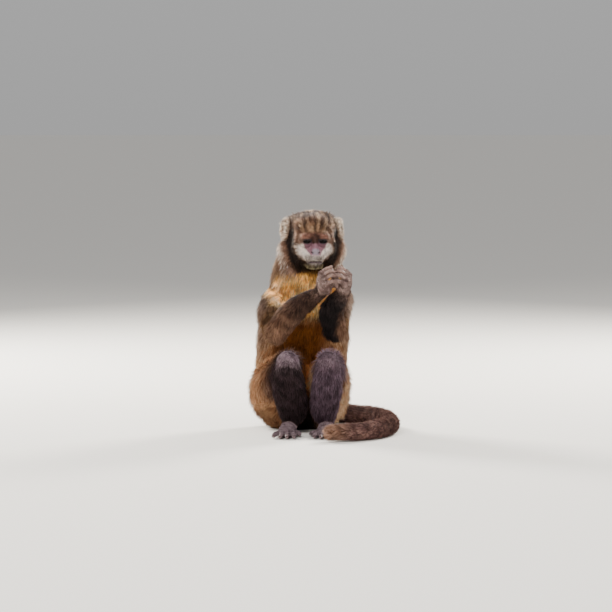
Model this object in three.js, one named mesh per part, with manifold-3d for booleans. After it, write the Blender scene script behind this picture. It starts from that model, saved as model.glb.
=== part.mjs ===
// A yellow-breasted capuchin monkey, life size, sitting upright on its rump with its knees drawn up, both hands
// held together below its mouth and its tail laid round its left foot.
//
// Millimetres, +Z up. The origin is on the ground under the middle of the rump. The animal faces -Y, turned a
// little towards +X, its own left. Every solid reaches out to the tips of the coat.
//
// Each body part is a sweep, a round-ended tube of elliptical sections on a smooth spine, or a star, the blended
// outline of a few ellipsoids round one centre. Parts are then fitted in order: a later part is cut back by each
// earlier one, which is grown by the width of the joint between them.

import * as THREE from "three";
import { mergeVertices } from "three/addons/utils/BufferGeometryUtils.js";
import Module from "manifold-3d";

// ---- Driving dimensions ----

const JOINT_GAP = 0.4; // between neighbouring solids
const BODY_TURN = THREE.MathUtils.degToRad(7); // of the trunk and legs towards the animal's left
const HEAD_TURN = THREE.MathUtils.degToRad(5);
const HEAD_ORIGIN = new THREE.Vector3(15, -60, 294); // at the height of the eyes, in the middle of the head
const KNEE_HEIGHT = 114;
const TAIL_RADIUS = 16;
const TAIL_SUNK = 0.8; // how far the round tail would reach below the ground, which gives it a narrow flat
const EYE_RADIUS = 8.6;
const EYE_SPACING = 25; // between the middles of the eyes
const EYE_DEPTH = -30.5; // of the eyeball's middle, along the head's own Y
const COAT_COLOURS = {
  dark: 0x2b1d1a,
  brown: 0x5a3d2a,
  gold: 0xc98a3c,
  belly: 0x8a4d1f,
  skin: 0x6d5650,
  eye: 0x120c08,
};

// ---- Frames ----

const X_AXIS = new THREE.Vector3(1, 0, 0);
const Z_AXIS = new THREE.Vector3(0, 0, 1);

const ACROSS_BODY = new THREE.Vector3(1, 0, 0).applyAxisAngle(Z_AXIS, BODY_TURN);

/** A point given from the head's origin, in the head's own directions. */
function inHead(x, y, z) {
  return new THREE.Vector3(x, y, z).applyAxisAngle(Z_AXIS, HEAD_TURN).add(HEAD_ORIGIN);
}

/** The matrix of a frame at a point, whose Z runs along one direction and whose X is as near another as it can be. */
function frameAt(origin, along, across) {
  const z = along.clone().normalize();
  const y = new THREE.Vector3().crossVectors(z, across).normalize();
  const x = new THREE.Vector3().crossVectors(y, z);
  return new THREE.Matrix4().makeBasis(x, y, z).setPosition(origin);
}

// ---- Solids ----

const wasm = await Module();
wasm.setup();

/** A closed geometry as a solid that can be cut and joined. */
function solidOf(geometry) {
  const bare = geometry.clone();
  bare.deleteAttribute("normal");
  bare.deleteAttribute("uv");
  const merged = mergeVertices(bare, 1e-4);
  return new wasm.Manifold(
    new wasm.Mesh({
      numProp: 3,
      vertProperties: new Float32Array(merged.attributes.position.array),
      triVerts: new Uint32Array(merged.index.array),
    }),
  );
}

/** A solid as a geometry. */
function geometryOf(solid) {
  const mesh = solid.getMesh();
  const places = new Float32Array(mesh.numVert * 3);
  for (let i = 0; i < mesh.numVert; i++) {
    for (let k = 0; k < 3; k++) places[3 * i + k] = mesh.vertProperties[mesh.numProp * i + k];
  }
  const geometry = new THREE.BufferGeometry();
  geometry.setAttribute("position", new THREE.BufferAttribute(places, 3));
  geometry.setIndex(new THREE.BufferAttribute(new Uint32Array(mesh.triVerts), 1));
  geometry.computeVertexNormals();
  return geometry;
}

/** The largest of the pieces that a cut has left. */
function largestPiece(solid) {
  const pieces = solid.decompose();
  return pieces.reduce((best, piece) => (piece.volume() > best.volume() ? piece : best));
}

/** Several solids as one. */
function joined(solids) {
  return solids.reduce((whole, solid) => whole.add(solid));
}

/**
 * A sweep: stations of [centre, half-width, half-depth] carried along a smooth spine, with rounded ends. The
 * half-width lies along `across`, as far as the spine allows.
 */
function sweep(stations, { across, sides, rings, capSteps = 2, capLength = 0.8, grow = 0 }) {
  const spine = new THREE.CatmullRomCurve3(stations.map(([centre]) => centre), false, "catmullrom");
  const sizes = new THREE.CatmullRomCurve3(
    stations.map(([, width, depth]) => new THREE.Vector3(width, depth, 0)),
    false,
    "catmullrom",
  );
  const sections = [];
  const addSection = (t, turn) => {
    // turn is 0 on the spine and runs to a quarter circle at an end's pole
    const size = sizes.getPoint(t);
    const width = size.x + grow;
    const depth = size.y + grow;
    const tangent = spine.getTangent(t);
    const reach = Math.min(size.x, size.y) * capLength + grow;
    const centre = spine.getPoint(t).addScaledVector(tangent, (t < 0.5 ? -1 : 1) * Math.sin(turn) * reach);
    const second = new THREE.Vector3().crossVectors(tangent, across).normalize();
    const first = new THREE.Vector3().crossVectors(second, tangent);
    sections.push({ centre, first, second, width: width * Math.cos(turn), depth: depth * Math.cos(turn) });
  };
  for (let i = 1; i <= capSteps; i++) addSection(0, (Math.PI / 2) * (1 - i / (capSteps + 1)));
  for (let i = 0; i <= rings; i++) addSection(i / rings, 0);
  for (let i = capSteps; i >= 1; i--) addSection(1, (Math.PI / 2) * (1 - i / (capSteps + 1)));

  const places = [];
  for (const { centre, first, second, width, depth } of sections) {
    for (let k = 0; k < sides; k++) {
      const angle = (2 * Math.PI * k) / sides;
      const place = centre
        .clone()
        .addScaledVector(first, width * Math.cos(angle))
        .addScaledVector(second, depth * Math.sin(angle));
      places.push(...place.toArray());
    }
  }
  for (const t of [0, 1]) {
    const size = sizes.getPoint(t);
    const reach = Math.min(size.x, size.y) * capLength + grow;
    places.push(...spine.getPoint(t).addScaledVector(spine.getTangent(t), (t ? 1 : -1) * reach).toArray());
  }
  const faces = [];
  const poles = [sections.length * sides, sections.length * sides + 1];
  for (let k = 0; k < sides; k++) {
    const next = (k + 1) % sides;
    faces.push(poles[0], next, k);
    const last = (sections.length - 1) * sides;
    faces.push(poles[1], last + k, last + next);
    for (let i = 0; i + 1 < sections.length; i++) {
      const low = i * sides;
      const high = low + sides;
      faces.push(low + k, low + next, high + next, low + k, high + next, high + k);
    }
  }
  const geometry = new THREE.BufferGeometry();
  geometry.setAttribute("position", new THREE.Float32BufferAttribute(places, 3));
  geometry.setIndex(faces);
  return solidOf(geometry);
}

/**
 * A star: in each direction from its centre, the smooth maximum of the distances at which a ray leaves a set of
 * ellipsoids of [middle, radii], all of which hold the centre.
 */
function star(centre, ellipsoids, { detail, blend, grow = 0 }) {
  const geometry = new THREE.IcosahedronGeometry(1, detail);
  const places = geometry.attributes.position;
  const ray = new THREE.Vector3();
  for (let i = 0; i < places.count; i++) {
    ray.fromBufferAttribute(places, i).normalize();
    let sum = 0;
    for (const [middle, radii] of ellipsoids) {
      const from = centre.clone().sub(middle).divide(radii);
      const along = ray.clone().divide(radii);
      const a = along.lengthSq();
      const b = along.dot(from);
      const leaves = (-b + Math.sqrt(b * b - a * (from.lengthSq() - 1))) / a;
      sum += Math.exp(leaves / blend);
    }
    const reach = blend * Math.log(sum) + grow;
    places.setXYZ(i, ...ray.multiplyScalar(reach).add(centre).toArray());
  }
  return solidOf(geometry);
}

/** A sphere, scaled into an ellipsoid and placed by a matrix. */
function ellipsoid(radii, matrix, grow = 0, segments = 20) {
  const geometry = new THREE.SphereGeometry(1, segments, Math.round(segments * 0.7));
  geometry.scale(radii.x + grow, radii.y + grow, radii.z + grow);
  return solidOf(geometry.applyMatrix4(matrix));
}

/** A thin slab across a direction at a point, which parts a solid in two. */
function cutAt(point, along) {
  const slab = new THREE.BoxGeometry(400, 400, JOINT_GAP);
  return solidOf(slab.applyMatrix4(frameAt(point, along, Math.abs(along.x) < 0.9 ? X_AXIS : Z_AXIS)));
}

const ground = solidOf(new THREE.BoxGeometry(900, 900, 100).translate(0, 0, -50));

// ---- Head ----

/** The head with its hair, ruff, cheeks, muzzle and chin. */
function head(grow) {
  const v = (x, y, z) => new THREE.Vector3(x, y, z);
  const forms = [
    [inHead(13, 4, 7), v(31, 46, 37)], // left half of the crown
    [inHead(-13, 4, 7), v(31, 46, 37)], // right half of the crown
    [inHead(0, 4, 7), v(36, 47, 39.5)], // middle of the crown
    [inHead(0, 5, -9), v(53, 33, 37)], // ruff in front of and under the ears
    [inHead(0, -19, -12), v(31, 25, 32)], // cheeks
    [inHead(0, -21, -23), v(18, 34, 17)], // muzzle
    [inHead(0, -13, -26), v(22, 28, 21)], // chin and beard
    [inHead(0, -16, 6), v(29, 28, 20)], // brow
  ];
  return star(inHead(0, -8, -8), forms, { detail: 6, blend: 2, grow });
}

/** An opening between the lids, which lets the eye be seen. */
function lidOpening(side) {
  const middle = inHead((side * EYE_SPACING) / 2, EYE_DEPTH - EYE_RADIUS - 2, 0);
  return ellipsoid(new THREE.Vector3(7.2, 9, 3.6), new THREE.Matrix4().setPosition(middle), 0, 10);
}

function eye(side, grow) {
  const middle = inHead((side * EYE_SPACING) / 2, EYE_DEPTH, 0);
  const size = new THREE.Vector3(EYE_RADIUS, EYE_RADIUS, EYE_RADIUS);
  return ellipsoid(size, new THREE.Matrix4().setPosition(middle), grow, 10);
}

/** A round ear, a dished oval that stands out from the side of the head. */
function ear(side, grow) {
  const outwards = new THREE.Vector3(side * 0.88, -0.47, 0.05);
  const frame = frameAt(inHead(side * 45, 9, 17), outwards, Z_AXIS);
  const oval = ellipsoid(new THREE.Vector3(18, 13, 5), frame, grow, 10);
  if (grow) return oval;
  const dishFrame = frame.clone().multiply(new THREE.Matrix4().makeTranslation(0, 0, 4.6));
  return oval.subtract(ellipsoid(new THREE.Vector3(12.5, 8, 4.5), dishFrame, 0, 9));
}

// ---- Trunk and tail ----

/** Rump, belly, chest and neck, from the seat up. */
function trunk(grow) {
  const stations = [
    // x, y, z, half-width, half-depth
    [-4, 2, 9, 50, 42],
    [-5, 3, 34, 64, 52],
    [-5, 4, 66, 69, 58],
    [-3, 4, 100, 72, 59],
    [0, 2, 140, 71, 57],
    [4, -1, 178, 65, 56],
    [8, -7, 206, 61, 53],
    [6, -18, 232, 61, 48],
    [7, -33, 256, 55, 42],
    [13, -46, 276, 44, 40],
  ].map(([x, y, z, width, depth]) => [new THREE.Vector3(x, y, z), width, depth]);
  return sweep(stations, { across: ACROSS_BODY, sides: 17, rings: 8, capSteps: 1, capLength: 0.35, grow });
}

const TAIL_HEIGHT = TAIL_RADIUS - TAIL_SUNK;
const TAIL_PATH = [
  [-8, 36, 34],
  [3, 60, 21],
  [36, 74, TAIL_HEIGHT + 0.5],
  [74, 64, TAIL_HEIGHT],
  [105, 38, TAIL_HEIGHT],
  [125, -2, TAIL_HEIGHT],
  [132, -48, TAIL_HEIGHT],
  [130, -95, TAIL_HEIGHT],
  [114, -140, TAIL_HEIGHT],
  [82, -173, TAIL_HEIGHT],
  [41, -187, TAIL_HEIGHT],
].map(([x, y, z]) => new THREE.Vector3(x, y, z));
const TAIL_CUTS = [3, 5.5, 8]; // the places on its path where the tail is divided

function tail(grow) {
  const stations = TAIL_PATH.map((place, i) => {
    const radius = i < TAIL_PATH.length - 1 ? TAIL_RADIUS : TAIL_RADIUS - 1.5;
    return [place, radius, radius];
  });
  return sweep(stations, { across: Z_AXIS, sides: 10, rings: 17, capLength: 1, grow });
}

// ---- Limbs ----

const HIP = { left: [36, -6, 44], right: [-46, -6, 44] };
const THIGH_MIDDLE = { left: [40, -52, 76], right: [-50, -50, 74] };
const KNEE = { left: [38, -100, KNEE_HEIGHT], right: [-23, -100, KNEE_HEIGHT] };
const CALF = { left: [37, -96, 68], right: [-21, -95, 68] };
const ANKLE = { left: [36, -80, 19], right: [-20, -80, 19] };
const SHOULDER = { left: [52, -14, 206], right: [-38, -20, 210] };
const BICEPS = { left: [51, -52, 186], right: [-45, -55, 185] };
const ELBOW = { left: [51, -86, 161], right: [-40, -88, 158] };
const FOREARM = { left: [45, -107, 194], right: [-10, -108, 194] };
const WRIST = { left: [63, -120, 221], right: [29, -123, 222] };

/** A limb part swept through the named places of one side, with a half-width and half-depth at each. */
function limb(side, places, sizes, options) {
  const stations = places.map((place, i) => [new THREE.Vector3(...place[side]), ...sizes[i]]);
  return sweep(stations, { across: ACROSS_BODY, ...options });
}

function thigh(side, grow) {
  const outer = side === "right" ? 36 : 34;
  const aboveKnee = {
    [side]: [KNEE[side][0] * 1.08, KNEE[side][1] + 16, KNEE_HEIGHT - 8],
  };
  const sizes = [[outer, 40], [30, 33], [19, 19], [14, 14]];
  return limb(side, [HIP, THIGH_MIDDLE, aboveKnee, KNEE], sizes, { sides: 10, rings: 4, grow });
}

function shin(side, grow) {
  const width = side === "right" ? 28 : 25;
  const inner = side === "right" ? 2 : -2;
  const aboveAnkle = { [side]: [ANKLE[side][0] + inner, ANKLE[side][1] - 5, 38] };
  const sizes = [[18, 19], [width, 25], [width - 2, 22], [20, 18]];
  return limb(side, [KNEE, CALF, aboveAnkle, ANKLE], sizes, { sides: 10, rings: 4, capLength: 0.7, grow });
}

function upperArm(side, grow) {
  const sizes = [[27, 28], [23, 24], [14, 14]];
  return limb(side, [SHOULDER, BICEPS, ELBOW], sizes, { sides: 10, rings: 4, grow });
}

function forearm(side, grow) {
  const sizes = [[20, 20], [20, 19], [12, 11]];
  return limb(side, [ELBOW, FOREARM, WRIST], sizes, { sides: 10, rings: 4, grow });
}

/**
 * A finger or toe: bones of the given lengths, each bent from the last about `hinge` by the given angles, from a
 * base that points along `heading`.
 */
function digit(base, heading, hinge, lengths, bends, radius, grow, rings = 3) {
  const stations = [[base, radius, radius]];
  const direction = heading.clone().normalize();
  const place = base.clone();
  lengths.forEach((length, i) => {
    direction.applyAxisAngle(hinge, THREE.MathUtils.degToRad(bends[i]));
    place.addScaledVector(direction, length);
    const thickness = radius * (1 - 0.08 * (i + 1));
    stations.push([place.clone(), thickness, thickness]);
  });
  return sweep(stations, { across: hinge, sides: 6, rings, capSteps: 1, capLength: 0.9, grow });
}

const PALM = new THREE.Vector3(15, 8, 19); // half the palm's width, thickness and length
const FINGERS = [
  // across the palm, then the bones' lengths
  { across: 11.2, lengths: [14, 10, 8] },
  { across: 3.7, lengths: [15, 11, 8] },
  { across: -3.7, lengths: [15, 11, 8] },
  { across: -11.2, lengths: [13, 9, 7] },
];
const FINGER_BENDS = [50, 76, 50];
const FINGER_RADIUS = 3.6;

/** The hand's frame: Z from the wrist to the knuckles, X towards the thumb. The left palm faces Y, the right -Y. */
const HAND_FRAMES = {
  right: frameAt(
    new THREE.Vector3(...WRIST.right),
    new THREE.Vector3(0.06, -0.68, 0.72),
    new THREE.Vector3(-0.28, 0.7, 0.65),
  ),
  left: frameAt(
    new THREE.Vector3(...WRIST.left),
    new THREE.Vector3(0.1, -0.68, 0.72),
    new THREE.Vector3(0.28, 0.7, 0.65),
  ),
};

/** Palm, four curled fingers and a thumb, in the hand's frame, then placed. */
function hand(side, grow) {
  const palmward = side === "right" ? -1 : 1;
  const palm = ellipsoid(PALM, new THREE.Matrix4().setPosition(0, 0, 13), grow, 10);
  const hinge = new THREE.Vector3(-palmward, 0, 0);
  const fingers = FINGERS.map(({ across, lengths }) =>
    digit(
      new THREE.Vector3(across, -palmward, 25 - Math.abs(across) * 0.3),
      new THREE.Vector3(across * 0.012, 0, 1),
      hinge,
      lengths,
      FINGER_BENDS,
      FINGER_RADIUS,
      grow,
    ),
  );
  const thumb = digit(
    new THREE.Vector3(10, palmward * 3, 8),
    new THREE.Vector3(0.5, palmward * 0.5, 0.8),
    new THREE.Vector3(0, 1, 0),
    [12, 9, 7],
    [-6, -18, -18],
    FINGER_RADIUS + 0.3,
    grow,
  );
  return joined([palm, thumb, ...fingers]).transform(HAND_FRAMES[side].elements.slice());
}

const FOOT_HEADING = { left: [-0.05, -1, 0], right: [-0.11, -1, 0] };
const TOES = [
  // across the sole, then the bones' lengths
  { across: 11.4, lengths: [13, 9, 7] },
  { across: 3.8, lengths: [14, 10, 7] },
  { across: -3.8, lengths: [14, 10, 7] },
  { across: -11.4, lengths: [13, 8, 6] },
];
const TOE_RADIUS = 3.7;
const SOLE_SUNK = 1.2; // how far the round sole and toes would reach below the ground, which flattens them

/** The foot's frame: Z forwards along the foot, Y up, X towards the animal's left. */
function footFrame(side) {
  const heel = new THREE.Vector3(ANKLE[side][0], ANKLE[side][1] + 6, 0);
  return frameAt(heel, new THREE.Vector3(...FOOT_HEADING[side]), X_AXIS);
}

/** Heel, instep, four toes and a great toe that stands away to the inner side. */
function foot(side, grow) {
  const inner = side === "left" ? -1 : 1;
  const down = new THREE.Vector3(1, 0, 0); // bends a forward toe towards the ground
  const lift = TOE_RADIUS - SOLE_SUNK;
  const instep = sweep(
    [
      [new THREE.Vector3(0, 9, -4), 10, 9.5],
      [new THREE.Vector3(0, 11, 14), 12.5, 12],
      [new THREE.Vector3(0, 8.5, 40), 14, 9.6],
      [new THREE.Vector3(0, 5.2, 60), 14.5, 6.4],
    ],
    { across: X_AXIS, sides: 10, rings: 4, capLength: 0.8, grow },
  );
  const toes = TOES.map(({ across, lengths }) =>
    digit(
      new THREE.Vector3(across, lift + 2, 58 - Math.abs(across) * 0.35),
      new THREE.Vector3(across * 0.012, 0.12, 1),
      down,
      lengths,
      [0, 9, 14],
      TOE_RADIUS,
      grow,
      2,
    ),
  );
  const greatToe = digit(
    new THREE.Vector3(inner * 9, lift + 2, 30),
    new THREE.Vector3(inner * 0.55, 0.02, 0.85),
    new THREE.Vector3(0, 1, 0),
    [12, 10, 7],
    [0, -inner * 12, -inner * 10],
    TOE_RADIUS + 0.4,
    grow,
  );
  return joined([instep, greatToe, ...toes]).transform(footFrame(side).elements.slice());
}

// ---- Fitting ----

const fitted = [];

/** Adds a part, cut back by every part before it and by the ground. */
function fit(name, colour, make) {
  let solid = make(0);
  for (const earlier of fitted) solid = solid.subtract(earlier.grown);
  solid = largestPiece(solid.subtract(ground));
  fitted.push({ name, colour, solid, grown: make(JOINT_GAP) });
}

for (const [side, sign] of [["left", 1], ["right", -1]]) {
  fit(`eye_${side}`, COAT_COLOURS.eye, (grow) => eye(sign, grow));
}
fit("head", COAT_COLOURS.brown, (grow) => (grow ? head(grow) : head(0).subtract(lidOpening(1)).subtract(lidOpening(-1))));
for (const [side, sign] of [["left", 1], ["right", -1]]) {
  fit(`ear_${side}`, COAT_COLOURS.skin, (grow) => ear(sign, grow));
}
for (const side of ["right", "left"]) {
  fit(`hand_${side}`, COAT_COLOURS.skin, (grow) => hand(side, grow));
}
for (const side of ["right", "left"]) {
  fit(`foot_${side}`, COAT_COLOURS.skin, (grow) => foot(side, grow));
  fit(`forearm_${side}`, COAT_COLOURS.dark, (grow) => forearm(side, grow));
  fit(`shin_${side}`, COAT_COLOURS.dark, (grow) => shin(side, grow));
  fit(`upper_arm_${side}`, COAT_COLOURS.gold, (grow) => upperArm(side, grow));
  fit(`thigh_${side}`, COAT_COLOURS.brown, (grow) => thigh(side, grow));
}
fit("trunk", COAT_COLOURS.belly, trunk);
fit("tail", COAT_COLOURS.dark, tail);

// ---- Division of the long parts ----

const group = new THREE.Group();

function addNode(name, colour, solid) {
  const material = new THREE.MeshStandardMaterial({ color: colour, roughness: 0.85, metalness: 0 });
  if (name.startsWith("eye")) material.roughness = 0.08;
  const mesh = new THREE.Mesh(geometryOf(solid), material);
  mesh.name = name;
  group.add(mesh);
}

/** The middle of a solid's box. */
function middleOf(solid) {
  const { min, max } = solid.boundingBox();
  return new THREE.Vector3((min[0] + max[0]) / 2, (min[1] + max[1]) / 2, (min[2] + max[2]) / 2);
}

/** A solid parted by slabs at [point, direction], its pieces in order of a measure of their middles. */
function parted(solid, slabs, measure) {
  const cut = slabs.reduce((rest, [point, along]) => rest.subtract(cutAt(point, along)), solid);
  const pieces = cut.decompose().filter((piece) => piece.volume() > 1000);
  return pieces.sort((p, q) => measure(middleOf(p)) - measure(middleOf(q)));
}

const TRUNK_CUTS = [
  [new THREE.Vector3(-5, 4, 70), new THREE.Vector3(0, 0.1, 1)],
  [new THREE.Vector3(0, 2, 138), new THREE.Vector3(0.06, -0.1, 1)],
  [new THREE.Vector3(8, -20, 230), new THREE.Vector3(0.05, -0.45, 1)],
];
const TRUNK_NAMES = ["rump", "belly", "chest", "neck"];
const TAIL_NAMES = ["tail_base", "tail_second", "tail_third", "tail_tip"];

/** How far along the tail's path the nearest of its points to a place lies. */
function alongTail(place) {
  const distances = TAIL_PATH.map((point) => point.distanceTo(place));
  return distances.indexOf(Math.min(...distances));
}

for (const { name, colour, solid } of fitted) {
  if (name === "trunk") {
    const pieces = parted(solid, TRUNK_CUTS, (middle) => middle.z);
    pieces.forEach((piece, i) => addNode(TRUNK_NAMES[i], i === 2 ? COAT_COLOURS.gold : colour, piece));
  } else if (name === "tail") {
    const curve = new THREE.CatmullRomCurve3(TAIL_PATH, false, "catmullrom");
    const slabs = TAIL_CUTS.map((i) => {
      const t = i / (TAIL_PATH.length - 1);
      return [curve.getPoint(t), curve.getTangent(t)];
    });
    // a slab is wide, so each cut is held to its own stretch of the tail
    const near = slabs.map(([point, along]) => {
      const reach = new THREE.BoxGeometry(60, 60, JOINT_GAP);
      return solidOf(reach.applyMatrix4(frameAt(point, along, Z_AXIS)));
    });
    const cut = near.reduce((rest, slab) => rest.subtract(slab), solid);
    const pieces = cut.decompose().sort((p, q) => alongTail(middleOf(p)) - alongTail(middleOf(q)));
    pieces.forEach((piece, i) => addNode(TAIL_NAMES[i], colour, piece));
  } else {
    addNode(name, colour, solid);
  }
}

export default group;
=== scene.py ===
import math

import bpy
import numpy as np
from mathutils import Matrix


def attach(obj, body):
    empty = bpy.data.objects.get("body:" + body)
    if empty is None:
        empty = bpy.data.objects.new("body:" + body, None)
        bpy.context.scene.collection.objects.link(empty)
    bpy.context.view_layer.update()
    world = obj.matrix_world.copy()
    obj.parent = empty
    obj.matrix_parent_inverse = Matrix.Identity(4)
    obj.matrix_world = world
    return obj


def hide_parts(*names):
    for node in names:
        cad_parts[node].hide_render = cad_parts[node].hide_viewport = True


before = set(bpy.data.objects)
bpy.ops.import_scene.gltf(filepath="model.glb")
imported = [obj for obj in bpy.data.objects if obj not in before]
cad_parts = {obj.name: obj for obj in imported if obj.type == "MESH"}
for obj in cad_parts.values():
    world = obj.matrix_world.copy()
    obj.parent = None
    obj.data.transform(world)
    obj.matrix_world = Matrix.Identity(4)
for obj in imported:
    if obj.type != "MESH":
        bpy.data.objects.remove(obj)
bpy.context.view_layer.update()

# A yellow-breasted capuchin sits upright with both hands below its mouth. One skin stands for all the flesh, and
# its coat is thin tufts of hair that grow from that skin. Lengths are in millimetres until a mesh is made.

RANDOM_SEED = 11
BODY_TURN = math.radians(7)
HEAD_TURN = math.radians(5)
HEAD_ORIGIN = np.array([15.0, -60.0, 294.0])
EYE_RADIUS = 8.6
EYE_SIDE = 12.5
EYE_DEPTH = -30.5
EAR_PLACE = np.array([40.0, 8.0, 15.0])  # of the left ear, from the head's origin


# ---------------------------------------------------------------------------------------------------------------
# Small vector helpers
# ---------------------------------------------------------------------------------------------------------------


def unit(rows):
    """Each row divided by its length."""
    rows = np.asarray(rows, float)
    return rows / np.maximum(np.linalg.norm(rows, axis=-1, keepdims=True), 1e-9)


def turn_z(angle):
    """The rows are the X, Y and Z of a frame turned about the vertical by an angle."""
    c, s = math.cos(angle), math.sin(angle)
    return np.array([[c, s, 0.0], [-s, c, 0.0], [0.0, 0.0, 1.0]])


def frame_rows(along, across):
    """The rows are the X, Y and Z of a frame whose Z is along one direction and whose X is as near across as it can be."""
    z = unit(along)
    y = unit(np.cross(z, across))
    return np.array([np.cross(y, z), y, z])


def smooth_step(low, high, value):
    """0 below low, 1 above high, and 3t^2 - 2t^3 between them."""
    t = np.clip((value - low) / (high - low), 0.0, 1.0)
    return t * t * (3.0 - 2.0 * t)


def spline(rows, count):
    """Evenly stepped points of the Catmull-Rom curve through the rows, each a half-sum of cubic weights of four rows."""
    p = np.asarray(rows, float)
    p = np.vstack([2 * p[0] - p[1], p, 2 * p[-1] - p[-2]])
    s = np.linspace(0.0, len(p) - 3.0, count)
    i = np.minimum(s.astype(int), len(p) - 4)
    u = (s - i)[:, None]
    a, b, c, d = p[i], p[i + 1], p[i + 2], p[i + 3]
    return 0.5 * (2 * b + (c - a) * u + (2 * a - 5 * b + 4 * c - d) * u**2 + (3 * b - a - 3 * c + d) * u**3)


HEAD_AXES = turn_z(HEAD_TURN)
BODY_ACROSS = turn_z(BODY_TURN)[0]


def in_head(x, y, z):
    """A place given from the head's origin in the head's own directions."""
    return HEAD_ORIGIN + np.array([x, y, z], float) @ HEAD_AXES


# ---------------------------------------------------------------------------------------------------------------
# Forms: a form is a set of ellipsoids, as middles (n, 3), axes (n, 3, 3) and half-sizes (n, 3)
# ---------------------------------------------------------------------------------------------------------------


def blob(middle, sizes, axes=None):
    """A single ellipsoid."""
    axes = np.eye(3) if axes is None else axes
    return np.array([middle], float), np.array([axes], float), np.array([sizes], float)


def head_blob(x, y, z, a, b, c):
    """An ellipsoid placed and turned with the head."""
    return blob(in_head(x, y, z), (a, b, c), HEAD_AXES)


def sweep(stations, across, count):
    """Ellipsoids close together along a spline through stations of x, y, z, half-width and half-depth."""
    rows = spline(stations, count)
    middles, width, depth = rows[:, :3], rows[:, 3], rows[:, 4]
    tangents = unit(np.gradient(middles, axis=0))
    seconds = unit(np.cross(tangents, across))
    firsts = np.cross(seconds, tangents)
    axes = np.stack([firsts, seconds, tangents], axis=1)
    return middles, axes, np.stack([width, depth, 0.8 * np.minimum(width, depth)], axis=1)


def joined(*forms):
    """Several forms as one."""
    return tuple(np.concatenate(parts) for parts in zip(*forms))


def digit(base, heading, hinge, lengths, bends, radius):
    """A finger or toe: bones end to end, each turned from the last about the hinge, and thinner than the last."""
    place, direction, hinge = np.array(base, float), unit(heading), unit(hinge)
    rows = [[*place, radius, radius]]
    for i, (length, bend) in enumerate(zip(lengths, bends)):
        c, s = math.cos(math.radians(bend)), math.sin(math.radians(bend))
        direction = direction * c + np.cross(hinge, direction) * s + hinge * (hinge @ direction) * (1 - c)
        place = place + direction * length
        rows.append([*place, *[radius * (1 - 0.08 * (i + 1))] * 2])
    return np.array(rows), direction


def placed(form, origin, axes):
    """A form carried from a limb's own frame to its place."""
    middles, own_axes, sizes = form
    return middles @ axes + origin, own_axes @ axes, sizes


def depths(form, points, pad=1e9):
    """The distance outside the nearest ellipsoid, from k(k - 1)/g with k the scaled radius and g its gradient."""
    best = np.full(len(points), 1e3)
    for middle, axes, sizes in zip(*form):
        local = (points - middle) @ axes.T
        k = np.sqrt(((local / sizes) ** 2).sum(1))
        g = np.sqrt(((local / sizes**2) ** 2).sum(1)) + 1e-9
        best = np.minimum(best, k * (k - 1.0) / g)
    return best


# ---------------------------------------------------------------------------------------------------------------
# The body's plan, to the skin: the hair's depth is already taken off
# ---------------------------------------------------------------------------------------------------------------

TRUNK = [  # x, y, z, half-width, half-depth
    [-4, 2, 15, 40, 34], [-5, 3, 34, 53, 42], [-5, 4, 66, 57, 46], [-3, 3, 100, 61, 47], [0, 1, 140, 62, 45],
    [4, -1, 178, 58, 44], [8, -7, 206, 51, 41], [8, -18, 232, 49, 38], [9, -32, 256, 42, 33],
    [14, -46, 276, 32, 29],
]
TAIL = [
    [-6, 34, 36, 12, 12], [3, 58, 22, 10, 10], [36, 74, 15, 9, 9], [74, 64, 14, 8.5, 8.5], [105, 38, 14, 8, 8],
    [125, -2, 14, 8, 8], [132, -48, 14, 8, 8], [130, -95, 14, 8, 8], [114, -140, 14, 7.5, 7.5],
    [82, -173, 14, 7, 7], [46, -186, 14, 6, 6],
]
LIMBS = {
    "thigh_left": [[36, -6, 46, 24, 29], [40, -52, 76, 21, 24], [40, -84, 105, 14, 14], [38, -99, 113, 12, 12]],
    "thigh_right": [[-44, -6, 46, 26, 29], [-49, -50, 74, 21, 24], [-25, -84, 105, 14, 14], [-23, -99, 113, 12, 12]],
    "shin_left": [[38, -99, 112, 12, 13], [36, -94, 72, 17, 16], [33, -83, 38, 15, 12], [36, -80, 20, 9, 10]],
    "shin_right": [[-23, -99, 112, 12, 13], [-21, -93, 72, 19, 16], [-16, -83, 38, 17, 12], [-20, -80, 20, 9, 10]],
    "upper_arm_left": [[48, -14, 202, 19, 19], [49, -52, 185, 15, 16], [48, -85, 162, 9.5, 9.5]],
    "upper_arm_right": [[-34, -19, 200, 19, 19], [-44, -54, 182, 17, 17], [-39, -87, 159, 11, 11]],
    "forearm_left": [[48, -87, 161, 10.5, 10.5], [45, -106, 193, 12, 11], [62, -119, 219, 8, 6.5]],
    "forearm_right": [[-40, -89, 158, 11, 11], [-10, -107, 193, 12, 11], [28, -122, 220, 8, 6.5]],
}
WRIST = {"left": np.array([63.0, -120, 221]), "right": np.array([29.0, -123, 222])}
HAND_AXES = {
    "left": frame_rows([0.1, -0.68, 0.72], [0.28, 0.7, 0.65]),
    "right": frame_rows([0.06, -0.68, 0.72], [-0.28, 0.7, 0.65]),
}
FINGERS = [[11.2, (14, 10, 8)], [3.7, (15, 11, 8)], [-3.7, (15, 11, 8)], [-11.2, (13, 9, 7)]]
HEEL = {"left": np.array([36.0, -74, 0]), "right": np.array([-20.0, -74, 0])}
FOOT_AXES = {
    "left": frame_rows([-0.05, -1, 0], [1, 0, 0]),
    "right": frame_rows([-0.11, -1, 0], [1, 0, 0]),
}
TOES = [[11.4, (13, 9, 7)], [3.8, (14, 10, 7)], [-3.8, (14, 10, 7)], [-11.4, (13, 8, 6)]]
nails = []  # the place and frame of each fingertip and toe tip


def tip_frame(rows, direction, back, origin, axes):
    """Keeps a digit's last place, its direction and the side its nail lies on."""
    nails.append((rows[-1, :3] @ axes + origin, direction @ axes, unit(np.array(back, float) @ axes), rows[-1, 3]))


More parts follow.
